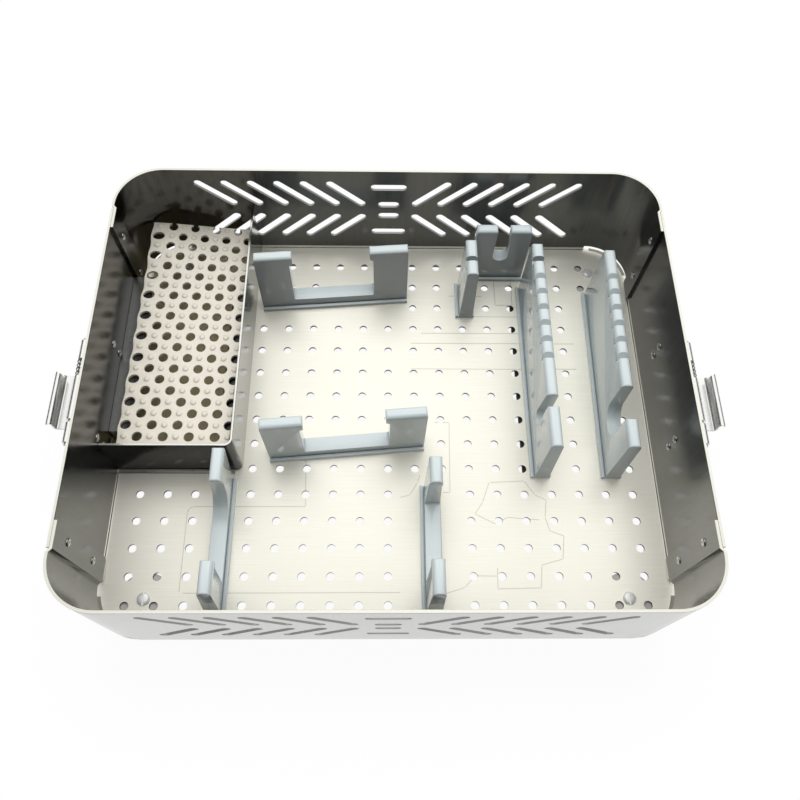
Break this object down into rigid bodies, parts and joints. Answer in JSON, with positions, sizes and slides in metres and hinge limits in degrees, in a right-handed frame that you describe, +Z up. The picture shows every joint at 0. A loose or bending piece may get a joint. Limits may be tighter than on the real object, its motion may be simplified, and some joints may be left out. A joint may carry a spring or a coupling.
{
  "type": "surgical instrument sterilization case",
  "caption": "Open sheet-steel sterilization tray with perforated floor, slotted walls, rubber feet, sprung end latches, a parts bay with silicone mat and moulded instrument brackets.",
  "frame": {"origin": "on the resting surface, below the middle of the case", "axes": "+X along the case to the right seen from the front, +Y to the rear, +Z up out of the tray"},
  "size_m": [0.3622, 0.243, 0.08],
  "materials": {
    "wall_steel": "brushed stainless sheet with a mirror-like sheen",
    "floor_steel": "bright satin stainless sheet",
    "rivet_steel": "polished fastener steel",
    "latch_steel": "polished stainless sheet and wire",
    "bracket_grey": "glossy blue-grey moulding",
    "mat_silicone": "cream silicone",
    "foot_rubber": "dark rubber"
  },
  "bodies": {
    "case": {"front_panel": "wall_steel", "rear_panel": "wall_steel", "left_end_wall": "wall_steel", "right_end_wall": "wall_steel", "floor_plate": "floor_steel", "corner_rivets": "rivet_steel", "bay_wall": "wall_steel", "bay_rivets": "rivet_steel", "left_mat_ledge": "wall_steel", "right_mat_ledge": "wall_steel", "foot_screws": "rivet_steel", "left_latch_base": "latch_steel", "left_latch_rivets": "rivet_steel", "left_latch_pin": "latch_steel", "right_latch_base": "latch_steel", "right_latch_rivets": "rivet_steel", "right_latch_pin": "latch_steel", "latch_springs": "latch_steel", "front_left_foot": "foot_rubber", "rear_left_foot": "foot_rubber", "front_right_foot": "foot_rubber", "rear_right_foot": "foot_rubber", "rear_saddle": "bracket_grey", "middle_saddle": "bracket_grey", "left_cradle": "bracket_grey", "front_cradle": "bracket_grey", "notched_post": "bracket_grey", "forked_post": "bracket_grey", "inner_rack_rail": "bracket_grey", "outer_rack_rail": "bracket_grey"},
    "left_latch": {"left_latch": "latch_steel"},
    "right_latch": {"right_latch": "latch_steel"},
    "mat": {"silicone_mat": "mat_silicone"}
  },
  "joints": [
    {"name": "left_latch_hinge", "type": "hinge", "parent": "case", "child": "left_latch", "pos_m": [-0.1645, 0, 0.046], "axis": [0, 1, 0], "range_deg": [0, 125], "stiffness_Nm_per_rad": 0.005, "springref_deg": -22.92},
    {"name": "right_latch_hinge", "type": "hinge", "parent": "case", "child": "right_latch", "pos_m": [0.1645, 0, 0.046], "axis": [0, -1, 0], "range_deg": [0, 125], "stiffness_Nm_per_rad": 0.005, "springref_deg": -22.92},
    {"name": "mat_lift", "type": "slide", "parent": "case", "child": "mat", "axis": [0, 0, 1], "range_m": [0, 0.06]}
  ]
}
